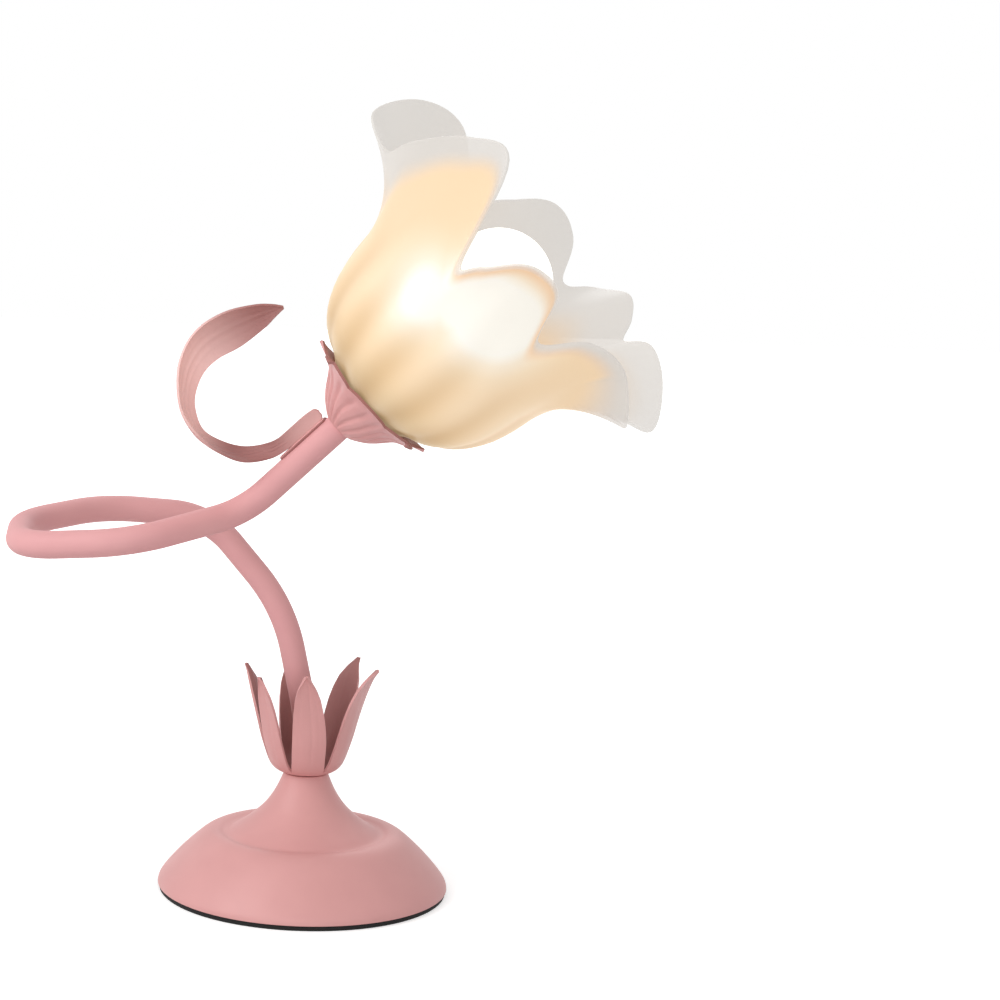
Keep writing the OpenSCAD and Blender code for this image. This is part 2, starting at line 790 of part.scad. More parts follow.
module leaf_blade() {
  n = blade_cols;
  m = blade_rows;
  top = n * m;
  color(pink)
  polyhedron(
    points = concat(blade_low, blade_top),
    faces = concat(
      [for (i = [0:m - 2], k = [0:n - 2]) each cell(i * n + k, i * n + k + 1, (i + 1) * n + k + 1, (i + 1) * n + k)],
      [for (i = [0:m - 2], k = [0:n - 2])
        each cell(top + i * n + k, top + (i + 1) * n + k, top + (i + 1) * n + k + 1, top + i * n + k + 1)],
      [for (i = [0:m - 2]) each cell(i * n, (i + 1) * n, top + (i + 1) * n, top + i * n)],
      [for (i = [0:m - 2])
        each cell(i * n + n - 1, top + i * n + n - 1, top + (i + 1) * n + n - 1, (i + 1) * n + n - 1)],
      [for (k = [0:n - 2]) each cell(k, top + k, top + k + 1, k + 1)],
      [for (k = [0:n - 2])
        each cell((m - 1) * n + k, (m - 1) * n + k + 1, top + (m - 1) * n + k + 1, top + (m - 1) * n + k)]
    )
  );
}

foot_pad();
base_plate();
plate_screws();
base_weight();
base_cover();
stem_nut();
stem_washer();
base_nipple();
inlet_bush();
terminal_block();
leaf_crown();
stretch_sleeve(1);  // stem_sleeve
stretch_hose(1);  // stem_hose
stretch_leads(1);  // stem_leads
stretch_sleeve(2);  // arm_1_sleeve
stretch_hose(2);  // arm_1_hose
stretch_leads(2);  // arm_1_leads
stretch_sleeve(3);  // arm_2_sleeve
stretch_hose(3);  // arm_2_hose
stretch_leads(3);  // arm_2_leads
stretch_sleeve(4);  // arm_3_sleeve
stretch_hose(4);  // arm_3_hose
stretch_leads(4);  // arm_3_leads
stretch_sleeve(5);  // arm_4_sleeve
stretch_hose(5);  // arm_4_hose
stretch_leads(5);  // arm_4_leads
stretch_sleeve(6);  // arm_5_sleeve
stretch_hose(6);  // arm_5_hose
stretch_leads(6);  // arm_5_leads
stretch_sleeve(7);  // arm_6_sleeve
stretch_hose(7);  // arm_6_hose
stretch_leads(7);  // arm_6_leads
stretch_sleeve(8);  // head_sleeve
stretch_hose(8);  // head_hose
stretch_leads(8);  // head_leads
head_nipple();
flower_cup();
cup_nut();
holder_body();
holder_core();
screw_shell();
centre_contact();
shade_ring();
shade();
bulb_globe();
bulb_housing();
led_board();
bulb_cap();
bulb_insulator();
bulb_tip();
leaf_clip();
leaf_blade();
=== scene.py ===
# Looks of a flower desk lamp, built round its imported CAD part
import math

import bpy
from bpy.props import FloatProperty, FloatVectorProperty, IntProperty, PointerProperty
from mathutils import Matrix, Quaternion, Vector


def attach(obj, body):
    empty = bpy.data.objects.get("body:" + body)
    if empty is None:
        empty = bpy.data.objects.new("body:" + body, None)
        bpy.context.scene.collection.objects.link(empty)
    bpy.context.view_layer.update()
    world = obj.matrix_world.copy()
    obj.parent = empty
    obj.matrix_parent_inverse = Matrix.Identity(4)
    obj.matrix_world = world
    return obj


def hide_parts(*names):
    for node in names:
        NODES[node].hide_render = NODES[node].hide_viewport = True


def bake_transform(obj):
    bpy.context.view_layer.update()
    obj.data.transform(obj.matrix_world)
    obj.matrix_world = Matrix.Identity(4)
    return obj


bl_info = {
    "name": "Flower Desk Lamp",
    "version": (1, 0, 0),
    "blender": (4, 5, 0),
    "location": "View3D > Sidebar > Flower Lamp",
    "description": "Models the visible pieces of a flower desk lamp round its CAD frame",
    "category": "Add Mesh",
}

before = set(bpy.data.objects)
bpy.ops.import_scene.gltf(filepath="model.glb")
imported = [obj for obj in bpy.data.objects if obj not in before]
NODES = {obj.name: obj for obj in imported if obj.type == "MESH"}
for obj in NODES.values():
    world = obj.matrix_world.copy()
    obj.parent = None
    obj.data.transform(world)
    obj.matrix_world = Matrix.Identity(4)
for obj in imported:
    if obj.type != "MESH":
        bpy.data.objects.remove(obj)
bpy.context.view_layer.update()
MM = 0.001

# The stem's line from the neck to the flower cup, corner by corner, in metres
ROUTE = [Vector(p) * MM for p in (
    (0, 0, 57), (0, 0, 80), (-13, -1, 137), (-50, -4, 180), (-98, -17, 184),
    (-131, -51, 180), (-126, -104, 177), (-77, -118, 182), (-30.5, -89, 193), (9.5, -102, 233),
)]
LAST_CORNER = len(ROUTE) - 2
FIRST_TANGENT = 15 * MM
LAST_TANGENT = 14 * MM
HINGE_CLEARANCE = 7.5 * MM
# The hose in the sleeve: radius, wall, length from a turn's top to the seam beside it, radius share at a seam
HOSE_RADIUS = 4.9 * MM
HOSE_WALL = 0.8 * MM
HOSE_STEP = 0.9 * MM
HOSE_SEAM = 0.9
# The two leads in the hose: radius, and how far each lies from the middle
LEAD_RADIUS = 0.9 * MM
LEAD_OFFSET = 1.05 * MM

# The flower's own directions: along its axis, across it to the lower right, and away from the viewer
CUP_FOOT = ROUTE[-1]
AXIS = (ROUTE[-1] - ROUTE[-2]).normalized()
ACROSS = Vector((0, 1, 0)).cross(AXIS).normalized()
AWAY = AXIS.cross(ACROSS)

# Outlines in millimetres, as in the part's source
COVER_OUTLINE = (
    (69.6, 2.5), (69, 5), (67, 8), (63, 12.8), (58.4, 17.7), (53, 22.8), (48.6, 26.4), (44.8, 28.2), (41.4, 28.4),
    (38.4, 27.5), (36, 27.8), (32.6, 30), (28, 33.2), (23.8, 36.6), (19.6, 40.8), (16.3, 45.2), (13.6, 49.9),
    (11.5, 54.6), (10.5, 57),
)
CROWN_OUTLINE = (
    (10.4, 0.4), (13.5, 1.4), (16.4, 3.6), (18.4, 7), (20.2, 12), (21.9, 17.5), (23.4, 24), (25, 31), (26.6, 37),
    (28.6, 43), (31.2, 48.4), (34.6, 52.4),
)
# Height of the crown's foot on the neck, and the radius of its hole round the sleeve, in millimetres
CROWN_FOOT = 57
CROWN_BORE = 6.7
# Gaps between the crown's leaves: directions from the front towards the right, and half widths by height
CROWN_GAPS = (32, 104, 169, 226, 284, 334, 392)
CROWN_GAP_HALF = (
    (2.6, 0), (4, 0.6), (8, 1.5), (14, 2.4), (20, 3.3), (26, 4.3), (32, 5.6), (38, 7.5), (43.5, 10), (48.4, 13.5),
    (52.4, 17.6),
)
CROWN_HEIGHTS = (1.0, 0.975, 1.0, 1.0, 1.055, 1.055)
CROWN_LEAN = (0, 0, 0, -3, 0, -5)

# Edges between the cup's petals, first the one before petal 0: full gaps at the back, scallops on the near side
CUP_GAPS = (0.8, 1, 1, 1, 1, 0.5, 0, 0, 0.7)

CUP_BOWL = ((5.0, 0.05), (7.4, 0), (8.8, 0.6), (11.5, 3.2), (16, 8.3), (19.4, 13), (21.8, 15.6))
CURLED_TIP = ((24.3, 16.7), (28, 17.3), (32.2, 18.6))
HUGGING_TIP = ((24.8, 18), (27.8, 20.2), (31, 22.4))
PETAL_CURL = (1, 1, 1, 1, 1, 0.1, 0, 0.2)
CREASE_HEIGHT = 0.95
PETAL_GAP_HALF = ((17.5, 0), (20, 0.25), (23, 0.8), (27, 1.7), (30, 3), (32.5, 5.4), (36, 10))

SHADE_OUTLINE = (
    (14.6, 0), (17.2, 0), (19.2, 1.6), (21.8, 4.6), (26, 8), (32, 11.2), (38, 16), (43, 22.4), (47.4, 31.5),
    (49.8, 41), (51, 50),
)
SHADE_SEAT = 14
MOUTH_START = (51, 64)
MOUTH_LEAN = (0.18, 0.98)
MOUTH_PULL = 0.68
# Share of the wall's length below the mouth, and the ridges round it: count, one's angle, half their depth
BODY_SHARE = 0.42
SHADE_RIDGES = 14
RIDGE_ANGLE = 247
RIDGE_HEIGHT = 0.6
# Rim of the glass, four points to a petal: angle round the flower, distance from its axis, height over the cup
RIM_POINTS = (
    (-12, 70.5, 92.5), (0, 89, 96), (14, 82, 110), (25, 73, 115.5),
    (31, 67, 107.5), (40, 70.5, 114.5), (51, 74.5, 119), (63, 80, 108),
    (70, 68, 100.5), (81, 80.5, 114.5), (93, 77, 119), (110, 58, 109.5),
    (129, 51, 102), (144, 70, 117.5), (159, 82, 114), (174, 87, 99),
    (184, 71, 95), (205, 73, 110.5), (224, 74, 130.5), (240, 74, 138),
    (252, 66, 97.5), (260, 73.5, 104.5), (270, 79, 120), (286, 57, 115.5),
    (300, 50.5, 95.5), (313, 57.5, 110), (326, 69, 111.5), (339, 81.5, 95),
)

# Depth of the grey, half clear edge under the rim, and the share of it that fades, both by angle
RIM_FROST = (
    (-34, 14), (-12, 16), (0, 18), (14, 24), (31, 36), (51, 45), (110, 46), (129, 44), (159, 36), (184, 24), (200, 17),
    (228, 16), (246, 12), (256, 3), (296, 3), (306, 7), (326, 10),
)
FROST_SOFTNESS = ((-34, 0.85), (8, 0.8), (31, 0.45), (200, 0.5), (246, 0.5), (300, 0.7))
# Heights between which the ochre foot of the glass's painted glow fades, and distances from the rim for its painted
# warm line
LOW_FADE = (18, 66)
EDGE_FADE = (2.5, 15.0)
# Painted light where the bulb shines through the near wall: angle, height, and radius of the white and of its fade
BRIGHT_SPOTS = ((249, 76, 1, 31), (262, 86, 3, 27), (276, 92, 9, 29), (286, 94, 3, 22))

# Stations of the curled leaf from the cup's foot: right, back, up, half width seen, half width in depth
BLADE_POINTS = (
    (*(-ACROSS * 9.9 - AXIS * 2.6), 2.7, 0), (*(-ACROSS * 10.2 - AXIS * 9), 3.2, 0),
    (*(-ACROSS * 10.3 - AXIS * 19), 3.2, 0), (*(-ACROSS * 10.7 - AXIS * 25.2), 3.1, 0),
    (*(-ACROSS * 12.6 - AXIS * 31.4), 3.3, 0.8),
    (-41, 7, -14.9, 2.7, 4.6), (-51, 5, -12.2, 1.7, 6), (-60, 3, -6.4, 0.9, 7), (-65.2, 1, 2.6, 2.2, 6.8),
    (-66.4, 0, 12, 3.4, 6.2), (-64, 0, 23.4, 5.6, 5), (-57.5, 0, 32.8, 7.6, 4), (-47, 0, 39.5, 8, 3),
    (-36, 0, 45, 5.4, 2), (-30, 0, 47.6, 2.8, 1), (-25.5, 0, 49, 0.5, 0.2),
)

# Middle of the leaf's curl from the cup's foot, and the radius of the clip's inner face on the sleeve
CURL_MIDDLE = Vector((-40, 0, 15)) * MM
CLIP_RADIUS = 6.65

# Camera as on the photo: place in metres, pitch, yaw and roll in degrees, lens in millimetres
CAMERA_PLACE = (0, -1.0536, 0.3161)
CAMERA_TURN = (7.15, 0.52, 2.0)
CAMERA_LENS = 80.9
CAMERA_SENSOR = 36
CAMERA_SHIFT = (0.165, 0.01)
# Soft lights: name, place in metres, side of the square in metres, power in watts
STUDIO_LIGHTS = (
    ("key", (-1.0, -0.55, 0.95), 0.7, 7.8), ("front", (-0.1, -1.6, 0.35), 1.0, 5.6),
    ("back", (0.2, 1.1, 0.9), 0.8, 2.0),
)
LIGHTS_AIM = Vector((0, -0.03, 0.18))
ROOM_LIGHT = 0.56


# Lines and curves

def spline(points, t):
    """Point of a smooth line through the points, with t from 0 at the first to 1 at the last"""
    place = min(max(t, 0.0), 1.0) * (len(points) - 1)
    i = min(int(place), len(points) - 2)
    t = place - i
    a, b, c, d = (points[min(max(i + j, 0), len(points) - 1)] for j in (-1, 0, 1, 2))
    return tuple(
        0.5 * (2 * q + (r - p) * t + (2 * p - 5 * q + 4 * r - s) * t * t + (3 * q - p - 3 * r + s) * t ** 3)
        for p, q, r, s in zip(a, b, c, d)
    )


def level(pairs, x):
    """Value at x on straight lines between (x, value) pairs"""
    if x <= pairs[0][0]:
        return pairs[0][1]
    for (x0, y0), (x1, y1) in zip(pairs, pairs[1:]):
        if x <= x1:
            return y0 + (y1 - y0) * (x - x0) / (x1 - x0)
    return pairs[-1][1]


def ease(x, low=0.0, high=1.0):
    """Smooth step from 0 at low to 1 at high"""
    t = min(max((x - low) / (high - low), 0.0), 1.0)
    return t * t * (3 - 2 * t)


def groove(x, middle, half):
    """Depth share of a soft groove of that half width"""
    return math.exp(-(((x - middle) / half) ** 2))


def in_flower(radius, degrees, height):
    """Point in metres at a radius and height in millimetres over the cup's foot"""
    turn = math.radians(degrees)
    return CUP_FOOT + (AXIS * height + (ACROSS * math.cos(turn) + AWAY * math.sin(turn)) * radius) * MM


# Modelling steps

def alone(piece=None):
    """Leaves only this piece selected and active"""
    if bpy.context.object and bpy.context.object.mode != "OBJECT":
        bpy.ops.object.mode_set(mode="OBJECT")
    bpy.ops.object.select_all(action="DESELECT")
    if piece:
        piece.select_set(True)
        bpy.context.view_layer.objects.active = piece


def start(name):
    """Names the primitive that was just added and puts its place into its mesh"""
    piece = bpy.context.object
    piece.name = piece.data.name = name
    bpy.ops.object.transform_apply(location=True, rotation=True, scale=True)
    return piece


def shaped_grid(name, across, along, place):
    """A grid primitive with every point set by place(u, v), u across and v along, from 0 to 1"""
    alone()
    bpy.ops.mesh.primitive_grid_add(x_subdivisions=across, y_subdivisions=along, size=1)
    piece = start(name)
    for vertex in piece.data.vertices:
        vertex.co = place(vertex.co.x + 0.5, vertex.co.y + 0.5)
    return piece


def joined(name, pieces):
    """One piece from several"""
    alone(pieces[0])
    for piece in pieces:
        piece.select_set(True)
    bpy.ops.object.join()
    pieces[0].name = pieces[0].data.name = name
    return pieces[0]


def merge_points(piece, away_from):
    """Closes seams, and turns every face away from the point that away_from gives for it"""
    alone(piece)
    bpy.ops.object.mode_set(mode="EDIT")
    bpy.ops.mesh.select_all(action="SELECT")
    bpy.ops.mesh.remove_doubles(threshold=0.00001)
    bpy.ops.mesh.normals_make_consistent(inside=False)
    bpy.ops.object.mode_set(mode="OBJECT")
    facing = sum(p.normal.dot(p.center - away_from(p.center)) * p.area for p in piece.data.polygons)
    if facing < 0:
        bpy.ops.object.mode_set(mode="EDIT")
        bpy.ops.mesh.flip_normals()
        bpy.ops.object.mode_set(mode="OBJECT")


def modified(piece, kind, **settings):
    """Adds a modifier and applies it"""
    alone(piece)
    bpy.ops.object.modifier_add(type=kind)
    modifier = piece.modifiers[-1]
    for name, value in settings.items():
        setattr(modifier, name, value)
    bpy.ops.object.modifier_apply(modifier=modifier.name)


def rounded(piece, width, segments, degrees):
    """Rounds the edges that turn by more than the angle"""
    modified(
        piece, "BEVEL", width=width, segments=segments, limit_method="ANGLE", angle_limit=math.radians(degrees)
    )


def pressed(piece, thickness, offset=-1.0, rim=0):
    """Gives a pressed sheet its thickness, with painted shade on the side that its faces turn from"""
    piece.data.materials.append(MATERIALS["pink_painted_steel"])
    piece.data.materials.append(MATERIALS["painted_shade_side"])
    modified(piece, "SOLIDIFY", thickness=thickness, offset=offset, material_offset=1, material_offset_rim=rim)


def smoothed(piece, degrees=40):
    """Smooth shading, with sharp edges kept past the angle"""
    alone(piece)
    bpy.ops.object.shade_smooth_by_angle(angle=math.radians(degrees))


def dressed(piece, slot, body=None, replaced=()):
    """Gives a finished piece the material made for a slot, hangs it on its body, and hides the CAD nodes that it stands
    for
    """
    if not piece.data.materials:
        piece.data.materials.append(MATERIALS[slot])
    if body:
        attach(piece, body)
    if replaced:
        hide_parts(*replaced)
    return piece


def turned(name, outline, sides):
    """A wall turned about the upright axis: a circle extruded and resized from point to point of the outline"""
    alone()
    radius, height = (x * MM for x in outline[0])
    bpy.ops.mesh.primitive_circle_add(vertices=sides, radius=radius, location=(0, 0, height))
    piece = start(name)
    bpy.ops.object.mode_set(mode="EDIT")
    bpy.ops.mesh.select_all(action="SELECT")
    for next_radius, next_height in ((r * MM, z * MM) for r, z in outline[1:]):
        bpy.ops.mesh.extrude_region_move(TRANSFORM_OT_translate={"value": (0, 0, next_height - height)})
        share = next_radius / radius
        bpy.ops.transform.resize(value=(share, share, 1), center_override=(0, 0, next_height))
        radius, height = next_radius, next_height
    bpy.ops.object.mode_set(mode="OBJECT")
    return piece


def drilled(piece, place, direction, radius, depth):
    """Cuts a round hole through a piece"""
    alone()
    bpy.ops.mesh.primitive_cylinder_add(
        vertices=48, radius=radius, depth=depth, location=place, rotation=direction.to_track_quat("Z", "Y").to_euler()
    )
    cutter = start("drill")
    modified(piece, "BOOLEAN", operation="DIFFERENCE", object=cutter, solver="EXACT")
    bpy.data.objects.remove(cutter)


# The stem's line

def heading(i):
    """Direction from corner i to the next"""
    return (ROUTE[i + 1] - ROUTE[i]).normalized()


def reach(i):
    """Length from corner i to the next"""
    return (ROUTE[i + 1] - ROUTE[i]).length


def tangent(i):
    """Straight length that the arc at corner i takes on each side"""
    if i == LAST_CORNER:
        return LAST_TANGENT
    if i == 1:
        return FIRST_TANGENT
    return min(reach(i - 1), reach(i)) / 2 - HINGE_CLEARANCE


def arc(i):
    """Start, centre, axis and angle of the arc at corner i"""
    before, after = heading(i - 1), heading(i)
    angle = before.angle(after)
    radius = tangent(i) / math.tan(angle / 2)
    inward = (after - before * before.dot(after)).normalized()
    first = ROUTE[i] - before * tangent(i)
    return first, first + inward * radius, before.cross(after).normalized(), angle


def stretch(k):
    """The sleeve's stretch over hinge k: its start, direction, side and the moves of a ring along it"""
    side = Vector((1, 0, 0))
    for i in range(1, k):
        _, _, axis, angle = arc(i)
        side = Quaternion(axis, angle) @ side
    first, centre, axis, angle = arc(k)
    if k == 1:
        place, direction = ROUTE[0], heading(0)
        moves = [("go", first - place), ("turn", centre, axis, angle)]
    else:
        half = Quaternion(axis, angle / 2)
        place = centre + half @ (first - centre)
        direction = half @ heading(k - 1)
        side = half @ side
        moves = [("turn", centre, axis, angle / 2)]
    leave = ROUTE[k] + heading(k) * tangent(k)
    first, centre, axis, angle = arc(k + 1)
    moves.append(("go", first - leave))
    if k + 1 == LAST_CORNER:
        moves.append(("turn", centre, axis, angle))
        moves.append(("go", ROUTE[-1] - ROUTE[-2] - heading(k + 1) * tangent(k + 1)))
    else:
        moves.append(("turn", centre, axis, angle / 2))
    return place, direction, side, moves


def run_tube(name, k, radius, sides, step, offset=0.0):
    """A tube over hinge k: a ring spun round each arc and extruded along each straight"""
    place, direction, side, moves = stretch(k)
    alone()
    bpy.ops.mesh.primitive_circle_add(
        vertices=sides, radius=radius, location=place + side * offset,
        rotation=direction.to_track_quat("Z", "Y").to_euler()
    )
    piece = start(name)
    bpy.ops.object.mode_set(mode="EDIT")
    bpy.ops.mesh.select_all(action="SELECT")
    for move in moves:
        if move[0] == "go":
            count = max(1, round(move[1].length / step))
            for _ in range(count):
                bpy.ops.mesh.extrude_region_move(TRANSFORM_OT_translate={"value": move[1] / count})
                place = place + move[1] / count
        else:
            _, centre, axis, angle = move
            count = max(3, round((place - centre).length * angle / step))
            bpy.ops.mesh.spin(steps=count, angle=-angle, center=centre, axis=axis)
            place = centre + Quaternion(axis, angle) @ (place - centre)
    bpy.ops.mesh.select_all(action="SELECT")
    bpy.ops.mesh.normals_make_consistent(inside=False)
    bpy.ops.object.mode_set(mode="OBJECT")
    return piece


def bend_with_stem(piece):
    """Puts the piece's place into its mesh"""
    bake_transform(piece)


# Materials

def linear(code):
    """Linear colour of an sRGB hex value"""
    parts = [int(code[i:i + 2], 16) / 255 for i in (1, 3, 5)]
    return tuple(x / 12.92 if x <= 0.04045 else ((x + 0.055) / 1.055) ** 2.4 for x in parts) + (1.0,)


def add(tree, kind, values=None, links=None, **settings):
    """Adds a node with its settings, input values and links"""
    node = tree.nodes.new("ShaderNode" + kind)
    for name, value in settings.items():
        setattr(node, name, value)
    for name, value in (values or {}).items():
        node.inputs[name].default_value = value
    for name, source in (links or {}).items():
        tree.links.new(source, node.inputs[name])
    return node


def new_material(name):
    """An empty material with its tree, its shader and the object's coordinates"""
    material = bpy.data.materials.new(name)
    material.use_nodes = True
    tree = material.node_tree
    shader = tree.nodes["Principled BSDF"]
    coordinates = add(tree, "TexCoord").outputs["Object"]
    return material, tree, shader, coordinates


def coat(name, light, dark, patch_mm, grain_mm, depth_mm, rough, **sockets):
    """A surface whose tone drifts over patches, with a fine grain in its bump and its roughness"""
    material, tree, shader, coordinates = new_material(name)
    patches = add(
        tree, "TexNoise", {"Scale": 1 / (patch_mm * MM), "Detail": 3.0}, {"Vector": coordinates}
    )
    tone = add(
        tree, "Mix", {6: linear(light), 7: linear(dark)}, {0: patches.outputs["Fac"]}, data_type="RGBA"
    )
    grain = add(
        tree, "TexNoise", {"Scale": 1 / (grain_mm * MM), "Detail": 2.0}, {"Vector": coordinates}
    )
    polish = add(
        tree, "MapRange", {"From Min": 0.3, "From Max": 0.7, "To Min": rough[0], "To Max": rough[1]},
        {"Value": grain.outputs["Fac"]}
    )
    bump = add(
        tree, "Bump", {"Strength": 1.0, "Distance": depth_mm * MM}, {"Height": grain.outputs["Fac"]}
    )
    tree.links.new(tone.outputs[2], shader.inputs["Base Color"])
    tree.links.new(polish.outputs["Result"], shader.inputs["Roughness"])
    tree.links.new(bump.outputs["Normal"], shader.inputs["Normal"])
    for socket, value in sockets.items():
        shader.inputs[socket.replace("_", " ")].default_value = value
    return material


def tinted(material, attribute, colour):
    """Takes a material's colour towards another one by a point attribute"""
    tree = material.node_tree
    shader = next(node for node in tree.nodes if node.type == "BSDF_PRINCIPLED")
    share = add(tree, "Attribute", attribute_name=attribute)
    tone = add(
        tree, "Mix", {7: linear(colour)},
        {0: share.outputs["Fac"], 6: shader.inputs["Base Color"].links[0].from_socket}, data_type="RGBA"
    )
    tree.links.new(tone.outputs[2], shader.inputs["Base Color"])
    return material


def make_glass(glow):
    """Acid-frosted opal glass with the bulb's light through it painted as its glow: warm by the bulb, grey and half
    clear at the petals' rims
    """
    material, tree, shader, coordinates = new_material("acid_frosted_opal_glass")
    shine = add(tree, "Attribute", attribute_name="bulb_light")
    warm = add(tree, "ValToRGB", links={"Fac": shine.outputs["Fac"]})
    set_stops(warm, ((0.0, "#fadeb9"), (0.3, "#fbe5c6"), (0.62, "#fdf0dc"), (0.85, "#fffdf6")))
    cool = add(tree, "Attribute", attribute_name="cool")
    fold = add(tree, "Attribute", attribute_name="fold").outputs["Fac"]
    low = add(tree, "Attribute", attribute_name="low")
    # The glass's foot: ochre, darker towards the cup, in the painted glow as well
    foot = add(tree, "ValToRGB", links={"Fac": low.outputs["Fac"]})
    set_stops(foot, ((0.0, "#f5d3a6"), (0.5, "#e8c696"), (0.85, "#d6b98d"), (1.0, "#c2ac89")))
    lit = add(
        tree, "Mix", links={0: low.outputs["Fac"], 6: warm.outputs["Color"], 7: foot.outputs["Color"]},
        data_type="RGBA"
    )
    edge = add(tree, "Attribute", attribute_name="edge")
    lined = add(
        tree, "Mix", {7: linear("#f7cfa6")}, {0: edge.outputs["Fac"], 6: lit.outputs[2]}, data_type="RGBA"
    )
    colour = add(
        tree, "Mix", {7: linear("#e2dfdc")}, {0: cool.outputs["Fac"], 6: lined.outputs[2]}, data_type="RGBA"
    )
    # Painted light on the ridges of the lower body and painted shade in the hollows between them
    ridge = add(
        tree, "MapRange", {"From Min": -1.0, "From Max": 1.0, "To Min": 0.0, "To Max": 1.0}, {"Value": fold}
    )
    folded = add(
        tree, "Mix", {6: (0.9, 0.85, 0.77, 1.0), 7: (1.05, 1.06, 1.08, 1.0)}, {0: ridge.outputs["Result"]},
        data_type="RGBA"
    )
    toned = add(
        tree, "Mix", {0: 1.0}, {6: colour.outputs[2], 7: folded.outputs[2]}, data_type="RGBA", blend_type="MULTIPLY"
    )
    # The wall's own colour is half its glow's, so both together don't bleach it
    half = add(
        tree, "Mix", {0: 1.0, 7: (0.5, 0.5, 0.5, 1.0)}, {6: toned.outputs[2]}, data_type="RGBA",
        blend_type="MULTIPLY"
    )
    clear = add(
        tree, "MapRange", {"To Min": 1.0, "To Max": 0.62}, {"Value": cool.outputs["Fac"]}
    )
    frost = add(tree, "TexNoise", {"Scale": 1 / (0.6 * MM), "Detail": 2.0}, {"Vector": coordinates})
    bump = add(tree, "Bump", {"Strength": 0.3, "Distance": 0.05 * MM}, {"Height": frost.outputs["Fac"]})
    tree.links.new(half.outputs[2], shader.inputs["Base Color"])
    # The wall's colour is also its glow: painted light from the bulb
    tree.links.new(toned.outputs[2], shader.inputs["Emission Color"])
    strength = add(tree, "MapRange", {"To Min": glow, "To Max": glow * 1.14}, {"Value": shine.outputs["Fac"]})
    tree.links.new(strength.outputs["Result"], shader.inputs["Emission Strength"])
    tree.links.new(clear.outputs["Result"], shader.inputs["Alpha"])
    tree.links.new(bump.outputs["Normal"], shader.inputs["Normal"])
    shader.inputs["Roughness"].default_value = 0.42
    shader.inputs["IOR"].default_value = 1.5
    return material


def set_stops(ramp, stops):
    """Colours of a ramp, as places and sRGB hex values"""
    elements = ramp.color_ramp.elements
    while len(elements) < len(stops):
        elements.new(0.5)
    for element, (place, code) in zip(elements, stops):
        element.position = place
        element.color = linear(code)


def make_bulb():
    """Opal polycarbonate bulb globe: milky, and so bright that it reads as plain white"""
    material, tree, shader, coordinates = new_material("moulded_opal_polycarbonate")
    cloud = add(tree, "TexNoise", {"Scale": 60.0}, {"Vector": coordinates})
    tone = add(
        tree, "Mix", {6: linear("#fffdf8"), 7: linear("#fffaf0")}, {0: cloud.outputs["Fac"]}, data_type="RGBA"
    )
    tree.links.new(tone.outputs[2], shader.inputs["Base Color"])
    tree.links.new(tone.outputs[2], shader.inputs["Emission Color"])
    shader.inputs["Emission Strength"].default_value = 0.9
    shader.inputs["Roughness"].default_value = 0.3
    return material


def make_hose_steel():
    """Wound spring steel: bright metal with a faint haze, its turns and seams in the mesh"""
    material, tree, shader, coordinates = new_material("wound_spring_steel")
    haze = add(tree, "TexNoise", {"Scale": 400.0, "Detail": 3.0}, {"Vector": coordinates})
    tone = add(
        tree, "Mix", {6: linear("#a9abae"), 7: linear("#7f8287")}, {0: haze.outputs["Fac"]}, data_type="RGBA"
    )
    tree.links.new(tone.outputs[2], shader.inputs["Base Color"])
    shader.inputs["Metallic"].default_value = 1.0
    shader.inputs["Roughness"].default_value = 0.34
    return material


def in_view(tree):
    """Share that is 1 where a ray comes from the camera, a gloss or a clear piece"""
    path = add(tree, "LightPath")
    seen = add(
        tree, "Math", links={0: path.outputs["Is Camera Ray"], 1: path.outputs["Is Glossy Ray"]},
        operation="MAXIMUM"
    )
    through = add(
        tree, "Math", links={0: seen.outputs[0], 1: path.outputs["Is Transmission Ray"]}, operation="MAXIMUM"
    )
    return through.outputs[0]


MATERIALS = {}


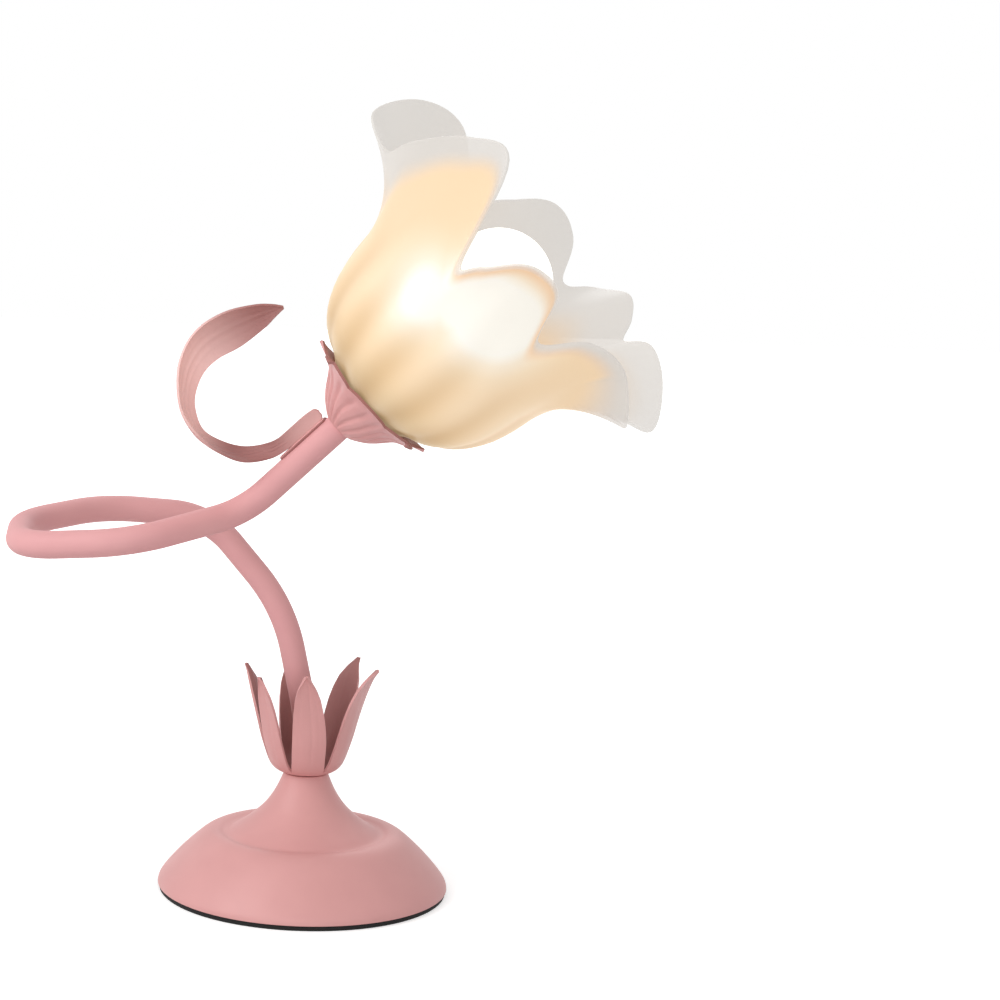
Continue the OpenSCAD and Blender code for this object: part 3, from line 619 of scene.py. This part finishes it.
def make_materials(colours):
    """All finishes, one for each slot of the record"""
    pink, shade_pink = "#%02x%02x%02x" % tuple(round(x * 255) for x in colours.coat), "#d59a98"
    sleeve = "#%02x%02x%02x" % tuple(round(x * 255) for x in colours.sleeve)
    MATERIALS.update({
        # Satin powder coat on stamped steel: even, soft highlights and a very fine orange peel
        "pink_painted_steel": coat(
            "powder_coated_steel", pink, shade_pink, 30, 0.9, 0.02, (0.42, 0.5), Specular_IOR_Level=0.4
        ),
        # The same coat with painted shade on the hollow sides of the stampings and on some of their rims: darker
        # and duller than outside, with painted light where the strip turns its hollow side to the light
        "painted_shade_side": tinted(
            coat("powder_coat_painted_shade", "#b07975", "#9c6562", 20, 0.9, 0.02, (0.5, 0.6)), "painted_light_share", "#ffd0cb"
        ),
        # Moulded silicone: matt and a little uneven under a fine grain, with painted shade darkening it down in the
        # crown
        "pink_silicone": tinted(
            coat(
                "moulded_silicone_rubber", sleeve, "#dd9fa1", 22, 0.7, 0.02, (0.55, 0.66), Specular_IOR_Level=0.35
            ),
            "painted_crown_shade", "#a56c69"
        ),
        # Closed-cell foam: dull black with small cells
        "black_foam": coat("closed_cell_foam", "#1b1a1a", "#111010", 4, 0.8, 0.15, (0.85, 0.95)),
        # Zinc plating: grey metal with faint blotches from the bath
        "zinc_steel": coat("zinc_plated_steel", "#b4b6b8", "#96999d", 6, 0.5, 0.01, (0.3, 0.42), Metallic=1.0),
        # Wound steel: bright turns that show only where the sleeve ends
        "spiral_steel": make_hose_steel(),
        # Grey iron as cast: dark and rough
        "cast_iron": coat("sand_cast_iron", "#4b4a49", "#353433", 5, 1.2, 0.12, (0.7, 0.85), Metallic=0.6),
        # Turned brass: warm metal with a drawn sheen
        "brass": coat("turned_brass", "#c9a667", "#b08f52", 5, 0.4, 0.01, (0.25, 0.35), Metallic=1.0),
        # Moulded nylon: black with a soft sheen
        "black_plastic": coat("moulded_black_nylon", "#1d1d1e", "#141415", 8, 0.6, 0.02, (0.45, 0.55)),
        # Moulded polyester: clean off-white, half glossy
        "white_plastic": coat("moulded_white_polyester", "#e7e5e0", "#dcd9d2", 10, 0.6, 0.01, (0.35, 0.45)),
        # Glazed steatite: off-white and glossy
        "ceramic": coat("glazed_steatite", "#ece8df", "#e0dbcf", 7, 1.0, 0.01, (0.15, 0.25)),
        # Extruded insulation: smooth brownish red
        "lead_insulation": coat("extruded_wire_insulation", "#7a3a33", "#66302a", 6, 0.6, 0.01, (0.4, 0.5)),
        # Acid-frosted glass: milky, with a dull skin and clear grey rims, and the bulb's light through it painted as
        # its glow
        "frosted_glass": make_glass(colours.glow),
        # Moulded opal plastic: an even white glow
        "opal_plastic": make_bulb(),
        # Pressed aluminium: light grey metal, satin
        "aluminium": coat("pressed_aluminium", "#c3c5c7", "#aeb1b4", 6, 0.5, 0.01, (0.3, 0.4), Metallic=1.0),
        # Nickel plating: warm grey metal, brighter than the zinc
        "nickel_cap": coat("nickel_plated_brass", "#b9b5ab", "#a39f95", 5, 0.4, 0.01, (0.2, 0.3), Metallic=1.0),
        # Vitrified glass in the cap: near black and shiny
        "black_glass": coat("vitrified_cap_glass", "#141416", "#0c0c0e", 5, 1.0, 0.01, (0.1, 0.2)),
    })


# Settings that a user would change

class LampSizes(bpy.types.PropertyGroup):
    """Sizes of the lamp's visible pieces"""

    sleeve_radius: FloatProperty(
        name="Sleeve radius", description="Outer radius of the soft sleeve on the stem", default=6 * MM,
        min=0.005, max=0.007, unit="LENGTH"
    )
    sleeve_wall: FloatProperty(
        name="Sleeve wall", description="Thickness of the soft sleeve", default=1 * MM,
        min=0.0005, max=0.0015, unit="LENGTH"
    )
    sheet_thickness: FloatProperty(
        name="Sheet thickness", description="Thickness of the stamped leaves and the cup", default=1.2 * MM,
        min=0.0008, max=0.0015, unit="LENGTH"
    )
    cover_thickness: FloatProperty(
        name="Cover thickness", description="Thickness of the spun base cover", default=1.5 * MM,
        min=0.001, max=0.002, unit="LENGTH"
    )
    glass_thickness: FloatProperty(
        name="Glass thickness", description="Wall of the glass shade", default=2.5 * MM,
        min=0.002, max=0.003, unit="LENGTH"
    )
    vein_depth: FloatProperty(
        name="Vein depth", description="Depth of the grooves pressed into the leaves", default=0.35 * MM,
        min=0.0, max=0.0006, unit="LENGTH"
    )
    cup_creases: IntProperty(
        name="Cup creases", description="Creases round the flower cup", default=24, min=8, max=64
    )


class LampColours(bpy.types.PropertyGroup):
    """Colours and glow of the lamp's visible pieces"""

    coat: FloatVectorProperty(
        name="Coat", description="Powder coat on the metal", default=(0.894, 0.663, 0.655), size=3,
        min=0.0, max=1.0, subtype="COLOR_GAMMA"
    )
    sleeve: FloatVectorProperty(
        name="Sleeve", description="Silicone of the stem's sleeve", default=(0.902, 0.671, 0.671), size=3,
        min=0.0, max=1.0, subtype="COLOR_GAMMA"
    )
    glow: FloatProperty(
        name="Glow", description="Light that the glass gives off near the bulb", default=0.5, min=0.0, max=2.0
    )


def settings():
    """Sizes and colours of the scene"""
    scene = bpy.context.scene
    return scene.flower_lamp_sizes, scene.flower_lamp_colours


# Pieces

class LAMP_OT_finishes(bpy.types.Operator):
    """Makes the materials and gives them to the CAD nodes that stay in sight"""

    bl_idname = "flower_lamp.finishes"
    bl_label = "Finishes"

    def execute(self, context):
        _, colours = settings()
        make_materials(colours)
        for node in NODES.values():
            for place in node.material_slots:
                place.material = MATERIALS[place.material.name]
        return {"FINISHED"}


class LAMP_OT_base(bpy.types.Operator):
    """Models the spun base cover and the foam pad under it"""

    bl_idname = "flower_lamp.base"
    bl_label = "Base cover and pad"

    def execute(self, context):
        sizes, _ = settings()
        outline = [spline(COVER_OUTLINE, i / 72) for i in range(73)]
        outline[0] = (outline[0][0], 2.52)
        outline += [(10.2, 57.0), (9.2, 57.0), (6.4, 57.0)]
        cover = turned("base_cover_shell", outline, 144)
        merge_points(cover, lambda p: Vector())
        modified(cover, "SOLIDIFY", thickness=sizes.cover_thickness, offset=-1.0, use_even_offset=True)
        rounded(cover, 0.3 * MM, 2, 50)
        drilled(cover, Vector((0, 0.066, 11.6 * MM)), Vector((0, 1, 0)), 5.05 * MM, 0.024)
        smoothed(cover, 35)
        dressed(cover, "pink_painted_steel", "base", ["base_cover"])

        alone()
        bpy.ops.mesh.primitive_cylinder_add(vertices=144, radius=68.8 * MM, depth=2.5 * MM, location=(0, 0, 1.25 * MM))
        pad = start("foam_foot_pad")
        rounded(pad, 0.6 * MM, 3, 50)
        for turn in (45, 135, 225, 315):
            place = Vector((math.cos(math.radians(turn)) * 0.042, math.sin(math.radians(turn)) * 0.042, 0.00125))
            drilled(pad, place, Vector((0, 0, 1)), 4.2 * MM, 0.006)
        smoothed(pad, 35)
        dressed(pad, "black_foam", "base", ["foot_pad"])
        return {"FINISHED"}


class LAMP_OT_crown(bpy.types.Operator):
    """Models the crown of six veined leaves round the foot of the stem"""

    bl_idname = "flower_lamp.crown"
    bl_label = "Leaf crown"

    def execute(self, context):
        sizes, _ = settings()
        outline = ((CROWN_BORE, 0.15),) + CROWN_OUTLINE
        leaves = []
        for j, (low, high) in enumerate(zip(CROWN_GAPS, CROWN_GAPS[1:])):
            middle, half = (low + high) / 2, (high - low) / 2
            # A leaf ends where the gaps beside it meet
            top = 1.0
            while True:
                radius, height = spline(outline, top)
                if math.degrees(math.asin(level(CROWN_GAP_HALF, height) / radius)) < half - 1.5:
                    break
                top -= 0.005

            def place(u, v, j=j, middle=middle, half=half, top=top):
                radius, height = spline(outline, v * top)
                radius = max(radius, CROWN_BORE)
                share = 2 * u - 1
                gap = math.degrees(math.asin(min(1.0, level(CROWN_GAP_HALF, height) / radius)))
                taper = math.sqrt(max(0.0, 1 - max(0.0, (v - 0.82) / 0.18) ** 2))
                lean = CROWN_LEAN[j] * ease(height, 16, 52)
                turn = math.radians(middle + lean + (half - gap) * share * max(taper, 0.03))
                veins = 0.45 * groove(share, 0.15, 0.12) + 0.2 * groove(abs(share), 0.6, 0.12)
                radius -= sizes.vein_depth / MM * veins * ease(height, 3, 14)
                # Each leaf is hollow along its middle, and its edges stand a little proud
                radius += 0.8 * share * share * ease(height, 8, 40)
                height *= 1 + (CROWN_HEIGHTS[j] - 1) * ease(height, 8, 50)
                return Vector((radius * math.sin(turn), -radius * math.cos(turn), CROWN_FOOT + height)) * MM

            leaves.append(shaped_grid(f"crown_leaf_{j}", 48, 44, place))
        crown = joined("stamped_leaf_crown", leaves)
        merge_points(crown, lambda p: Vector((0, 0, p.z + 0.004)))
        # The leaves' inner sides carry painted shade
        pressed(crown, sizes.sheet_thickness)
        smoothed(crown, 50)
        dressed(crown, "pink_painted_steel", "base", ["leaf_crown"])
        return {"FINISHED"}


class LAMP_OT_stem(bpy.types.Operator):
    """Models the soft sleeve, the wound hose and the two leads, one stretch over each bend"""

    bl_idname = "flower_lamp.stem"
    bl_label = "Stem"

    def execute(self, context):
        sizes, _ = settings()
        for k in range(1, LAST_CORNER):
            names = [f"arm_{k}"] if k < LAST_CORNER - 1 else ["head"]
            if k == 1:
                names.append("stem")
            sleeve = run_tube(f"sleeve_{k}", k, sizes.sleeve_radius, 40, 1.6 * MM)
            # Painted shade: the sleeve darkens down in the crown
            painted_crown_shade = sleeve.data.attributes.new("painted_crown_shade", "FLOAT", "POINT")
            for point, value in zip(sleeve.data.vertices, painted_crown_shade.data):
                value.value = 1 - ease(point.co.z, 82 * MM, 112 * MM)
            modified(sleeve, "SOLIDIFY", thickness=sizes.sleeve_wall, offset=-1.0)
            smoothed(sleeve)
            dressed(sleeve, "pink_silicone", replaced=[name + "_sleeve" for name in names])
            bend_with_stem(sleeve)

            sides = 20
            hose = run_tube(f"wound_hose_{k}", k, HOSE_RADIUS, sides, HOSE_STEP)
            points = hose.data.vertices
            for ring in range(1, len(points) // sides - 1, 2):
                row = range(ring * sides, (ring + 1) * sides)
                middle = sum((points[i].co for i in row), Vector()) / sides
                for i in row:
                    points[i].co = middle + (points[i].co - middle) * HOSE_SEAM
            modified(hose, "SOLIDIFY", thickness=HOSE_WALL, offset=-1.0)
            smoothed(hose)
            dressed(hose, "spiral_steel", replaced=[name + "_hose" for name in names])
            bend_with_stem(hose)

            leads = joined(f"insulated_leads_{k}", [
                run_tube(f"lead_{k}_{at}", k, LEAD_RADIUS, 12, 3 * MM, at * LEAD_OFFSET) for at in (-1, 1)
            ])
            alone(leads)
            bpy.ops.object.mode_set(mode="EDIT")
            bpy.ops.mesh.select_all(action="DESELECT")
            bpy.ops.mesh.select_non_manifold()
            bpy.ops.mesh.fill_holes(sides=0)
            bpy.ops.object.mode_set(mode="OBJECT")
            smoothed(leads)
            dressed(leads, "lead_insulation", replaced=[name + "_leads" for name in names])
            bend_with_stem(leads)
        return {"FINISHED"}


class LAMP_OT_cup(bpy.types.Operator):
    """Models the pleated flower cup with its eight petal tips"""

    bl_idname = "flower_lamp.cup"
    bl_label = "Flower cup"

    def execute(self, context):
        sizes, _ = settings()
        petals = []
        for i, curl in enumerate(PETAL_CURL):
            def place(u, v, i=i, curl=curl):
                share = 2 * u - 1
                side = 1 if share > 0 else 0
                # Neighbours meet halfway between their curls
                beside = PETAL_CURL[(i + 2 * side - 1) % len(PETAL_CURL)]
                bend = curl + (beside - curl) * 0.5 * share * share
                tip = tuple(
                    tuple(a * (1 - bend) + b * bend for a, b in zip(hug, free))
                    for hug, free in zip(HUGGING_TIP, CURLED_TIP)
                )
                openness = CUP_GAPS[i + side]
                radius, height = spline(CUP_BOWL + tip, v * (1 - 0.07 * share * share * (openness < 0.5)))
                gap = math.degrees(math.asin(min(1.0, openness * level(PETAL_GAP_HALF, radius) / radius)))
                # Curled petals are pointed, the others are scallops
                taper = math.sqrt(max(0.0, 1 - max(0.0, (v - 0.86) / 0.14) ** 2.4))
                taper += ((1 - max(0.0, (v - 0.6) / 0.4) ** 2.1) - taper) * ease(curl, 0.3, 0.8)
                taper = 1 + (max(taper, 0.04) - 1) * ease(openness, 0.1, 0.6)
                turn = i * 45 + max(22.5 - gap, 0.3) * share * taper
                wander = 5 * math.sin(math.radians(3 * turn + 9 * height))
                crease = 1 - (0.5 + 0.5 * math.cos(math.radians((turn + wander) * sizes.cup_creases))) ** 2.5
                depth = CREASE_HEIGHT * ease(radius, 8, 14) * (1 - ease(radius, 24 - 4 * curl, 31 - 6 * curl))
                # The creases are pressed outwards, so the inside keeps clear of the glass
                return in_flower(radius + depth * crease * 0.75, turn, height - depth * crease * 0.5)

            petals.append(shaped_grid(f"cup_petal_{i}", 36, 54, place))
        cup = joined("pleated_flower_cup", petals)
        merge_points(cup, lambda p: CUP_FOOT + AXIS * ((p - CUP_FOOT).dot(AXIS) + 0.012))
        # The cup's inside and its rims carry painted shade, a dark line along the petals' edges
        pressed(cup, sizes.sheet_thickness, rim=1)
        smoothed(cup, 50)
        dressed(cup, "pink_painted_steel", "head", ["flower_cup"])
        return {"FINISHED"}


class LAMP_OT_shade(bpy.types.Operator):
    """Models the ruffled glass shade with its seven wide petals"""

    bl_idname = "flower_lamp.shade"
    bl_label = "Glass shade"

    def execute(self, context):
        sizes, _ = settings()
        count = len(RIM_POINTS)
        ring = [(a + 360 * turn, r, z) for turn in (-1, 0, 1) for a, r, z in RIM_POINTS]

        def rim(u):
            return spline(ring[count - 2:2 * count + 3], (2 + u * count) / (count + 4))

        def ridge(angle):
            return math.cos(math.radians(SHADE_RIDGES * (angle - RIDGE_ANGLE)))

        def place(u, v):
            angle, rim_r, rim_z = rim(u)
            ripple = RIDGE_HEIGHT * ridge(angle)
            if v <= BODY_SHARE:
                radius, height = spline(SHADE_OUTLINE, v / BODY_SHARE)
                radius += ripple * min(1.0, max(0.0, radius - 20) / 12)
                return in_flower(radius, angle, SHADE_SEAT + height)
            t = (v - BODY_SHARE) / (1 - BODY_SHARE)
            pull = MOUTH_PULL * (rim_z - MOUTH_START[1])
            bend = (MOUTH_START[0] + MOUTH_LEAN[0] * pull, MOUTH_START[1] + MOUTH_LEAN[1] * pull)
            radius, height = (
                a * (1 - t) ** 2 + b * 2 * t * (1 - t) + c * t * t for a, b, c in zip(MOUTH_START, bend, (rim_r, rim_z))
            )
            return in_flower(radius + ripple * (1 - t), angle, height)

        shade = shaped_grid("frosted_petal_shade", count * 9, 50, place)
        uv = shade.data.uv_layers[0].data
        first = RIM_FROST[0][0]
        # Marks for the painted light and shade of the wall: the bulb's bright places, the warm line under the rim, the
        # foot darker towards the cup, lighter ridges and shaded hollows, and the grey rims
        marks = {
            name: [0.0] * len(shade.data.vertices)
            for name in ("cool", "fold", "low", "edge", "thin", "bulb_light")
        }
        for loop in shade.data.loops:
            u, v = uv[loop.index].uv
            angle, rim_r, rim_z = rim(u)
            t = max(0.0, (v - BODY_SHARE) / (1 - BODY_SHARE))
            to_rim = (1 - t) * 1.1 * math.hypot(rim_r - MOUTH_START[0], rim_z - MOUTH_START[1])
            place_round = (angle - first) % 360 + first
            frost, soft = level(RIM_FROST, place_round), level(FROST_SOFTNESS, place_round)
            height = (shade.data.vertices[loop.vertex_index].co - CUP_FOOT).dot(AXIS) / MM
            i = loop.vertex_index
            marks["cool"][i] = 1 - ease(to_rim, frost * (1 - soft), frost * (1 + soft))
            marks["fold"][i] = ridge(angle) * ease(v, 0.06, 0.16) * (1 - ease(v, 0.3, 0.62))
            marks["bulb_light"][i] = max(
                1 - ease(math.hypot(0.9 * ((angle - at + 180) % 360 - 180), height - up), core, core + fade)
                for at, up, core, fade in BRIGHT_SPOTS
            )
            marks["low"][i] = (1 - ease(height, *LOW_FADE)) * (1 - 0.6 * marks["bulb_light"][i])
            marks["edge"][i] = 0.9 - 0.9 * ease(to_rim, *EDGE_FADE)
            marks["thin"][i] = ease(t, 0.3, 1.0)
        for name, values in marks.items():
            attribute = shade.data.attributes.new(name, "FLOAT", "POINT")
            attribute.data.foreach_set("value", values)
        merge_points(shade, lambda p: CUP_FOOT + AXIS * max(0.02, (p - CUP_FOOT).dot(AXIS)))
        thick = [1 - 0.5 * data.value for data in shade.data.attributes["thin"].data]
        # The wall thins out towards the rim
        wall = shade.vertex_groups.new(name="wall")
        for vertex, share in zip(shade.data.vertices, thick):
            wall.add([vertex.index], share, "REPLACE")
        modified(
            shade, "SOLIDIFY", thickness=sizes.glass_thickness, offset=-1.0, vertex_group="wall",
            thickness_vertex_group=0.0
        )
        rounded(shade, 0.5 * MM, 3, 60)
        smoothed(shade, 60)
        dressed(shade, "frosted_glass", "head", ["shade"])
        return {"FINISHED"}


class LAMP_OT_leaf(bpy.types.Operator):
    """Models the curled, veined leaf below the flower"""

    bl_idname = "flower_lamp.leaf"
    bl_label = "Curled leaf"

    def execute(self, context):
        sizes, _ = settings()

        def middle(v):
            return Vector(spline(BLADE_POINTS, v)[:3])

        def place(u, v):
            run = (middle(min(v + 0.01, 1)) - middle(max(v - 0.01, 0))).normalized()
            *_, seen, deep = spline(BLADE_POINTS, v)
            seen *= 0.35 + 0.65 * math.sqrt(min(1.0, v / 0.02))
            flat = Vector((-run.z, 0, run.x)).normalized()
            across = flat * max(seen, 0.1) - Vector((0, 1, 0)) * max(deep, 0.0)
            width = across.length
            up = across.cross(run).normalized()
            share = 2 * u - 1
            dish = -(0.08 + 0.2 * ease(v, 0.15, 0.4)) * width * (share * share - 0.4)
            veins = 0.8 * groove(share, 0.05, 0.12) + 0.4 * groove(share, -0.4, 0.1) + 0.3 * groove(share, 0.5, 0.1)
            veins *= sizes.vein_depth / MM * ease(v, 0.1, 0.3) * (1 - ease(v, 0.85, 1.0))
            return CUP_FOOT + (middle(v) + across * share + up * (dish - veins)) * MM

        leaf = shaped_grid("curled_leaf", 40, 130, place)
        # Painted light on the leaf's shaded side: paler along the middle of the curl and at the strip's upper end
        light = leaf.data.attributes.new("painted_light_share", "FLOAT", "POINT")
        uv = leaf.data.uv_layers[0].data
        for loop in leaf.data.loops:
            v = uv[loop.index].uv[1]
            light.data[loop.vertex_index].value = (
                ease(v, 0.36, 0.52) * (1 - ease(v, 0.66, 0.88)) + 0.45 * (1 - ease(v, 0.05, 0.25))
            )
        merge_points(leaf, lambda p: CUP_FOOT + CURL_MIDDLE)
        # The curl's hollow side and the leaf's rims carry painted shade
        pressed(leaf, sizes.sheet_thickness * 0.85, offset=0.0, rim=1)
        smoothed(leaf, 50)
        dressed(leaf, "pink_painted_steel", "leaf", ["leaf_blade"])

        def wrap(u, v):
            return in_flower(CLIP_RADIUS, 28 + 170 * u, -3 - 26 * v)

        clip = shaped_grid("leaf_clip_wrap", 40, 12, wrap)
        merge_points(clip, lambda p: CUP_FOOT + AXIS * (p - CUP_FOOT).dot(AXIS))
        # The clip's inner side and rims carry painted shade, a dark line against the sleeve
        pressed(clip, sizes.sheet_thickness, offset=0.0, rim=1)
        rounded(clip, 0.3 * MM, 2, 50)
        smoothed(clip, 50)
        dressed(clip, "pink_painted_steel", "leaf", ["leaf_clip"])
        return {"FINISHED"}


class LAMP_OT_stage(bpy.types.Operator):
    """Sets the pale floor, the soft lights and the camera"""

    bl_idname = "flower_lamp.stage"
    bl_label = "Stage"

    def execute(self, context):
        scene = context.scene
        scene.view_settings.view_transform = "Standard"

        alone()
        bpy.ops.mesh.primitive_plane_add(size=12, location=(0, 0, 0))
        floor = start("studio_floor")
        material = bpy.data.materials.new("pale_studio_floor")
        material.use_nodes = True
        tree = material.node_tree
        tree.nodes.clear()
        card = add(tree, "BsdfDiffuse", {"Color": (0.7, 0.7, 0.7, 1.0)})
        pale = add(tree, "BsdfDiffuse", {"Color": (0.8, 0.8, 0.8, 1.0)})
        place = add(tree, "TexCoord")
        away = add(tree, "VectorMath", links={0: place.outputs["Object"]}, operation="LENGTH")
        fade = add(
            tree, "MapRange", {"From Min": 0.2, "From Max": 1.0, "To Min": 0.5, "To Max": 1.0},
            {"Value": away.outputs["Value"]}
        )
        lift = add(tree, "Emission", {"Color": (1.0, 1.0, 1.0, 1.0)}, {"Strength": fade.outputs["Result"]})
        lifted = add(tree, "AddShader", links={0: pale.outputs[0], 1: lift.outputs[0]})
        mixed = add(tree, "MixShader", links={0: in_view(tree), 1: card.outputs[0], 2: lifted.outputs[0]})
        add(tree, "OutputMaterial", links={"Surface": mixed.outputs[0]})
        floor.data.materials.append(material)

        world = bpy.data.worlds.new("studio")
        scene.world = world
        world.use_nodes = True
        tree = world.node_tree
        tree.nodes.clear()
        room = add(tree, "Background", {"Color": (1.0, 1.0, 1.0, 1.0), "Strength": ROOM_LIGHT})
        backdrop = add(tree, "Background", {"Color": (1.0, 1.0, 1.0, 1.0), "Strength": 1.0})
        mixed = add(tree, "MixShader", links={0: in_view(tree), 1: room.outputs[0], 2: backdrop.outputs[0]})
        add(tree, "OutputWorld", links={"Surface": mixed.outputs[0]})

        for name, place, size, power in STUDIO_LIGHTS:
            alone()
            bpy.ops.object.light_add(type="AREA", location=place)
            lamp = context.object
            lamp.name = lamp.data.name = name
            lamp.data.size = size
            lamp.data.energy = power
            lamp.rotation_euler = (LIGHTS_AIM - Vector(place)).to_track_quat("-Z", "Y").to_euler()

        pitch, yaw, roll = (math.radians(angle) for angle in CAMERA_TURN)
        forward = Vector((math.sin(yaw) * math.cos(pitch), math.cos(yaw) * math.cos(pitch), -math.sin(pitch)))
        level_right = Vector((math.cos(yaw), -math.sin(yaw), 0))
        upright = level_right.cross(forward)
        right = level_right * math.cos(roll) + upright * math.sin(roll)
        up = upright * math.cos(roll) - level_right * math.sin(roll)
        camera = bpy.data.objects.new("camera", bpy.data.cameras.new("camera"))
        scene.collection.objects.link(camera)
        camera.data.lens = CAMERA_LENS
        camera.data.sensor_width = CAMERA_SENSOR
        camera.data.shift_x, camera.data.shift_y = CAMERA_SHIFT
        camera.data.clip_end = 20
        turn = Matrix((right, up, -forward)).transposed()
        camera.matrix_world = Matrix.Translation(CAMERA_PLACE) @ turn.to_4x4()
        scene.camera = camera
        return {"FINISHED"}


OPERATORS = (
    LAMP_OT_finishes, LAMP_OT_base, LAMP_OT_crown, LAMP_OT_stem, LAMP_OT_cup, LAMP_OT_shade, LAMP_OT_leaf,
    LAMP_OT_stage,
)


class LAMP_PT_panel(bpy.types.Panel):
    """Lists the lamp's sizes, colours and building steps"""

    bl_idname = "LAMP_PT_panel"
    bl_label = "Flower Lamp"
    bl_space_type = "VIEW_3D"
    bl_region_type = "UI"
    bl_category = "Flower Lamp"

    def draw(self, context):
        for group in settings():
            box = self.layout.box()
            for name in group.__annotations__:
                box.prop(group, name)
        for operator in OPERATORS:
            self.layout.operator(operator.bl_idname)


CLASSES = (LampSizes, LampColours) + OPERATORS + (LAMP_PT_panel,)


def register():
    for item in CLASSES:
        bpy.utils.register_class(item)
    bpy.types.Scene.flower_lamp_sizes = PointerProperty(type=LampSizes)
    bpy.types.Scene.flower_lamp_colours = PointerProperty(type=LampColours)


def unregister():
    del bpy.types.Scene.flower_lamp_colours
    del bpy.types.Scene.flower_lamp_sizes
    for item in reversed(CLASSES):
        bpy.utils.unregister_class(item)


def main():
    """Builds everything"""
    register()
    for operator in OPERATORS:
        group, name = operator.bl_idname.split(".")
        getattr(getattr(bpy.ops, group), name)()
    alone()


if __name__ == "__main__":
    main()
